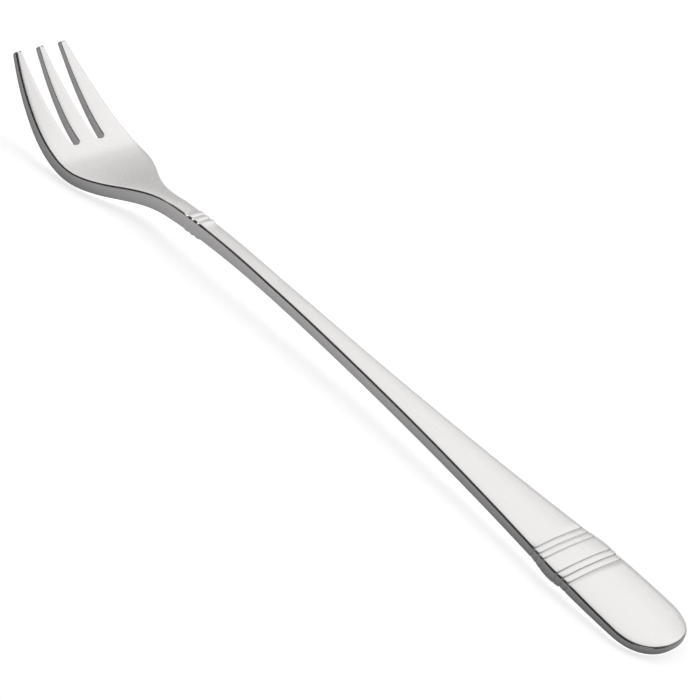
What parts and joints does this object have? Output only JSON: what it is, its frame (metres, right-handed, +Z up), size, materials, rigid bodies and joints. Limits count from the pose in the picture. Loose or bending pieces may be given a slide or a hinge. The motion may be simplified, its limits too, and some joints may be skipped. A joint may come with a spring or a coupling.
{
  "type": "oyster fork",
  "caption": "Slender stainless oyster fork with a grooved grip, long tapering handle, ringed neck and short upswept tines.",
  "frame": {"origin": "on the surface that the fork rests on, under the middle of its length and on its centre plane", "axes": "+X from the grip towards the tips of the tines, +Y to the fork's left, +Z up out of its top face"},
  "size_m": [0.146, 0.016, 0.0116],
  "materials": {
    "stainless_steel": "satin"
  },
  "bodies": {
    "root": {"grip": "stainless_steel", "rear_band": "stainless_steel", "swell": "stainless_steel", "front_band": "stainless_steel", "handle": "stainless_steel", "collar": "stainless_steel", "neck": "stainless_steel", "palm": "stainless_steel", "left_tine": "stainless_steel", "middle_tine": "stainless_steel", "right_tine": "stainless_steel"}
  },
  "joints": []
}
